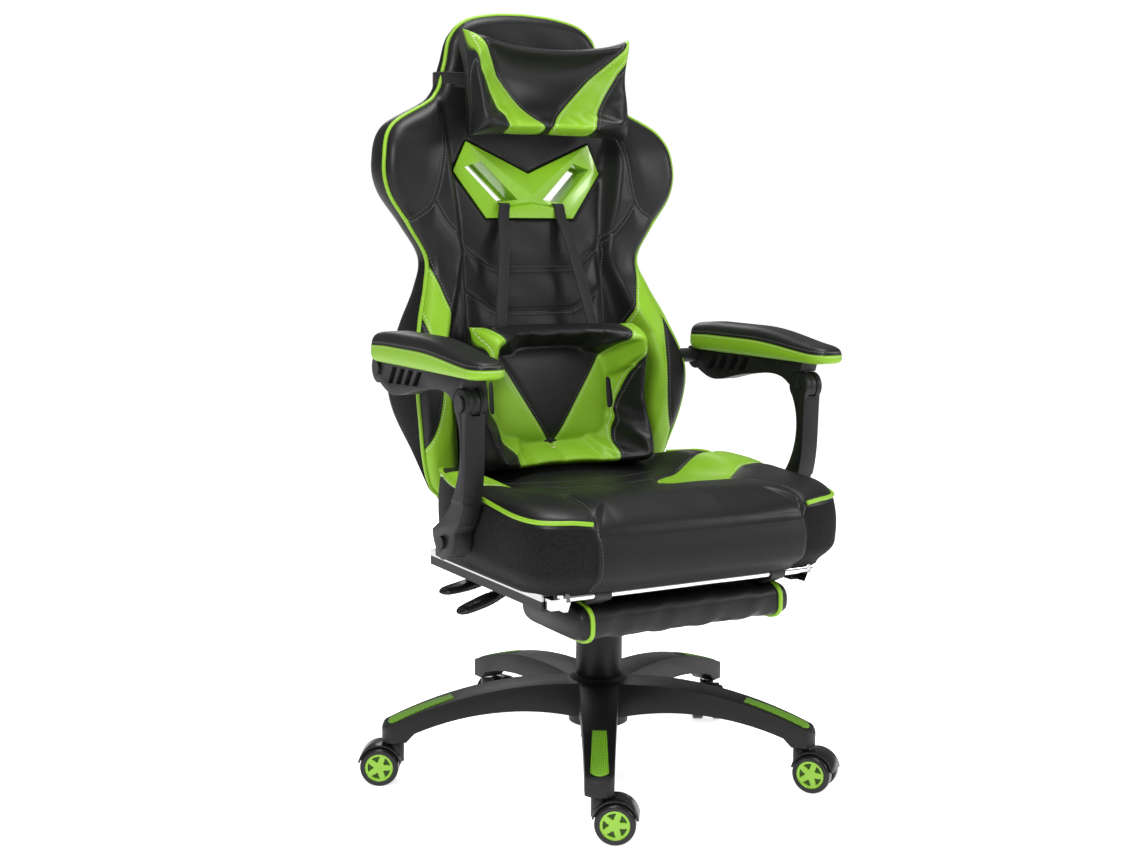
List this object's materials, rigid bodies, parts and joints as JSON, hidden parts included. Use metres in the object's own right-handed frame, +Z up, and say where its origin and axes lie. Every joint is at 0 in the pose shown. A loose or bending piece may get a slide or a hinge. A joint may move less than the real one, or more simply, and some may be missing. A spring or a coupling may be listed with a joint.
{
  "type": "gaming chair",
  "caption": "Racing style swivel armchair with reclining winged backrest, linked armrests, neck and lumbar pillows, pull-out footrest and a five-legged caster base",
  "frame": {"origin": "on the floor, on the axis of the gas column", "axes": "+Z up, -Y the way the sitter faces, -X the sitter's right hand"},
  "size_m": [0.6458, 0.6422, 1.095],
  "materials": {
    "nylon_black": "fine moulded texture",
    "green_plastic": "lime green, semi gloss",
    "zinc_steel": "zinc plated",
    "black_steel": "black powder coat",
    "chrome_bar": "bright chrome",
    "plywood": "birch plywood, black dust cloth below",
    "black_leather": "PU leather, black with lime green panels and piping",
    "black_webbing": "woven polyester",
    "caster_tread": "nylon tread with green hub cap"
  },
  "bodies": {
    "base": {"star_base": "nylon_black", "leg_grip_inserts": "green_plastic", "caster_stems": "zinc_steel", "column_outer_tube": "black_steel", "column_guide_bush": "nylon_black", "piston_rod": "zinc_steel", "column_cover_lower": "nylon_black"},
    "gas_lift": {"gas_cylinder": "black_steel", "column_cover_upper": "nylon_black"},
    "valve_pin": {"valve_pin": "zinc_steel"},
    "seat": {"mechanism_housing": "black_steel", "lever_pivot_blocks": "black_steel", "seat_board": "plywood", "seat_cushion": "black_leather", "arm_foot_brackets": "black_steel", "arm_foot_bolts": "nylon_black", "recline_hinge_plates": "black_steel", "recline_hinge_pins": "zinc_steel", "footrest_rails": "zinc_steel"},
    "height_lever": {"height_lever_rod": "black_steel", "height_lever_paddle": "nylon_black"},
    "recline_lever": {"recline_lever_rod": "black_steel", "recline_lever_paddle": "nylon_black"},
    "footrest_slide": {"footrest_frame": "chrome_bar", "footrest_end_caps": "chrome_bar"},
    "footrest_pad": {"footrest_pad": "black_leather", "footrest_pad_hinges": "zinc_steel"},
    "backrest": {"backrest_frame": "black_steel", "backrest_cushion": "black_leather", "vent_trim_front": "green_plastic", "vent_trim_rear": "green_plastic", "lumbar_straps": "black_webbing", "arm_rear_studs": "black_steel"},
    "lumbar_pillow": {"lumbar_pillow": "black_leather"},
    "head_pillow": {"head_pillow": "black_leather", "head_pillow_band": "black_webbing"},
    "arm_left": {"arm_link_left": "nylon_black", "arm_pad_left": "black_leather", "arm_knuckle_pin_left": "black_steel"},
    "arm_upright_left": {"arm_upright_left": "nylon_black"},
    "arm_right": {"arm_link_right": "nylon_black", "arm_pad_right": "black_leather", "arm_knuckle_pin_right": "black_steel"},
    "arm_upright_right": {"arm_upright_right": "nylon_black"},
    "caster_1": {"caster_hood_1": "nylon_black"},
    "wheel_1a": {"caster_wheel_1a": "caster_tread"},
    "wheel_1b": {"caster_wheel_1b": "caster_tread"},
    "caster_2": {"caster_hood_2": "nylon_black"},
    "wheel_2a": {"caster_wheel_2a": "caster_tread"},
    "wheel_2b": {"caster_wheel_2b": "caster_tread"},
    "caster_3": {"caster_hood_3": "nylon_black"},
    "wheel_3a": {"caster_wheel_3a": "caster_tread"},
    "wheel_3b": {"caster_wheel_3b": "caster_tread"},
    "caster_4": {"caster_hood_4": "nylon_black"},
    "wheel_4a": {"caster_wheel_4a": "caster_tread"},
    "wheel_4b": {"caster_wheel_4b": "caster_tread"},
    "caster_5": {"caster_hood_5": "nylon_black"},
    "wheel_5a": {"caster_wheel_5a": "caster_tread"},
    "wheel_5b": {"caster_wheel_5b": "caster_tread"}
  },
  "joints": [
    {"name": "gas_lift_height", "type": "slide", "parent": "base", "child": "gas_lift", "axis": [0, 0, 1], "range_m": [0, 0.08]},
    {"name": "seat_swivel", "type": "hinge", "parent": "gas_lift", "child": "seat", "pos_m": [0, 0, 0.266], "axis": [0, 0, 1], "continuous": true},
    {"name": "valve_pin_press", "type": "slide", "parent": "gas_lift", "child": "valve_pin", "axis": [0, 0, -1], "range_m": [0, 0.005]},
    {"name": "height_lever_lift", "type": "hinge", "parent": "seat", "child": "height_lever", "pos_m": [-0.056, 0, 0.287], "axis": [0, 1, 0], "range_deg": [0, 5], "stiffness_Nm_per_rad": 6, "springref_deg": -3.44},
    {"name": "recline_lever_lift", "type": "hinge", "parent": "seat", "child": "recline_lever", "pos_m": [-0.056, 0.055, 0.287], "axis": [0, 1, 0], "range_deg": [0, 5], "stiffness_Nm_per_rad": 6, "springref_deg": -3.44},
    {"name": "footrest_slide_out", "type": "slide", "parent": "seat", "child": "footrest_slide", "axis": [0, -1, 0], "range_m": [0, 0.25]},
    {"name": "footrest_pad_flip", "type": "hinge", "parent": "footrest_slide", "child": "footrest_pad", "pos_m": [0, -0.232, 0.316], "axis": [-1, 0, 0], "range_deg": [0, 180]},
    {"name": "backrest_recline", "type": "hinge", "parent": "seat", "child": "backrest", "pos_m": [0, 0.2, 0.391], "axis": [-1, 0, 0], "range_deg": [0, 45]},
    {"name": "arm_left_level", "type": "hinge", "parent": "backrest", "child": "arm_left", "pos_m": [0.271, 0.142, 0.581], "axis": [-1, 0, 0], "range_deg": [-45, 0]},
    {"name": "arm_upright_left_swing", "type": "hinge", "parent": "seat", "child": "arm_upright_left", "pos_m": [0.271, -0.063, 0.366], "axis": [-1, 0, 0], "range_deg": [0, 45]},
    {"name": "arm_right_level", "type": "hinge", "parent": "backrest", "child": "arm_right", "pos_m": [-0.271, 0.142, 0.581], "axis": [-1, 0, 0], "range_deg": [-45, 0]},
    {"name": "arm_upright_right_swing", "type": "hinge", "parent": "seat", "child": "arm_upright_right", "pos_m": [-0.271, -0.063, 0.366], "axis": [-1, 0, 0], "range_deg": [0, 45]},
    {"name": "lumbar_height", "type": "slide", "parent": "backrest", "child": "lumbar_pillow", "axis": [0, 0.1321, 0.9912], "range_m": [0, 0.035], "deforming": ["lumbar_straps"]},
    {"name": "head_pillow_height", "type": "slide", "parent": "backrest", "child": "head_pillow", "axis": [0, 0, 1], "range_m": [0, 0.025]},
    {"name": "caster_swivel_1", "type": "hinge", "parent": "base", "child": "caster_1", "pos_m": [-0.15361, -0.25769, 0.05], "axis": [0, 0, 1], "continuous": true},
    {"name": "wheel_spin_1a", "type": "hinge", "parent": "caster_1", "child": "wheel_1a", "pos_m": [-0.13564, -0.27037, 0.027], "axis": [-0.5764, -0.8171, 0], "continuous": true},
    {"name": "wheel_spin_1b", "type": "hinge", "parent": "caster_1", "child": "wheel_1b", "pos_m": [-0.13564, -0.27037, 0.027], "axis": [-0.5764, -0.8171, 0], "continuous": true},
    {"name": "caster_swivel_2", "type": "hinge", "parent": "base", "child": "caster_2", "pos_m": [-0.29254, 0.06646, 0.05], "axis": [0, 0, 1], "continuous": true},
    {"name": "wheel_spin_2a", "type": "hinge", "parent": "caster_2", "child": "wheel_2a", "pos_m": [-0.31156, 0.07753, 0.027], "axis": [0.503, 0.8643, 0], "continuous": true},
    {"name": "wheel_spin_2b", "type": "hinge", "parent": "caster_2", "child": "wheel_2b", "pos_m": [-0.31156, 0.07753, 0.027], "axis": [0.503, 0.8643, 0], "continuous": true},
    {"name": "caster_swivel_3", "type": "hinge", "parent": "base", "child": "caster_3", "pos_m": [-0.02719, 0.29877, 0.05], "axis": [0, 0, 1], "continuous": true},
    {"name": "wheel_spin_3a", "type": "hinge", "parent": "caster_3", "child": "wheel_3a", "pos_m": [-0.00652, 0.30629, 0.027], "axis": [0.342, -0.9397, 0], "continuous": true},
    {"name": "wheel_spin_3b", "type": "hinge", "parent": "caster_3", "child": "wheel_3b", "pos_m": [-0.00652, 0.30629, 0.027], "axis": [0.342, -0.9397, 0], "continuous": true},
    {"name": "caster_swivel_4", "type": "hinge", "parent": "base", "child": "caster_4", "pos_m": [0.27574, 0.11818, 0.05], "axis": [0, 0, 1], "continuous": true},
    {"name": "wheel_spin_4a", "type": "hinge", "parent": "caster_4", "child": "wheel_4a", "pos_m": [0.26474, 0.09913, 0.027], "axis": [-0.866, 0.5, 0], "continuous": true},
    {"name": "wheel_spin_4b", "type": "hinge", "parent": "caster_4", "child": "wheel_4b", "pos_m": [0.26474, 0.09913, 0.027], "axis": [-0.866, 0.5, 0], "continuous": true},
    {"name": "caster_swivel_5", "type": "hinge", "parent": "base", "child": "caster_5", "pos_m": [0.19761, -0.22572, 0.05], "axis": [0, 0, 1], "continuous": true},
    {"name": "wheel_spin_5a", "type": "hinge", "parent": "caster_5", "child": "wheel_5a", "pos_m": [0.20985, -0.24401, 0.027], "axis": [-0.831, -0.5563, 0], "continuous": true},
    {"name": "wheel_spin_5b", "type": "hinge", "parent": "caster_5", "child": "wheel_5b", "pos_m": [0.20985, -0.24401, 0.027], "axis": [-0.831, -0.5563, 0], "continuous": true}
  ],
  "couplings": [
    {"joint": "footrest_pad_flip", "follows": "footrest_slide_out", "rad_per_m": 12.566},
    {"joint": "valve_pin_press", "follows": "height_lever_lift", "m_per_rad": 0.056},
    {"joint": "arm_left_level", "follows": "backrest_recline", "ratio": -1},
    {"joint": "arm_upright_left_swing", "follows": "backrest_recline", "ratio": 1},
    {"joint": "arm_right_level", "follows": "backrest_recline", "ratio": -1},
    {"joint": "arm_upright_right_swing", "follows": "backrest_recline", "ratio": 1}
  ]
}
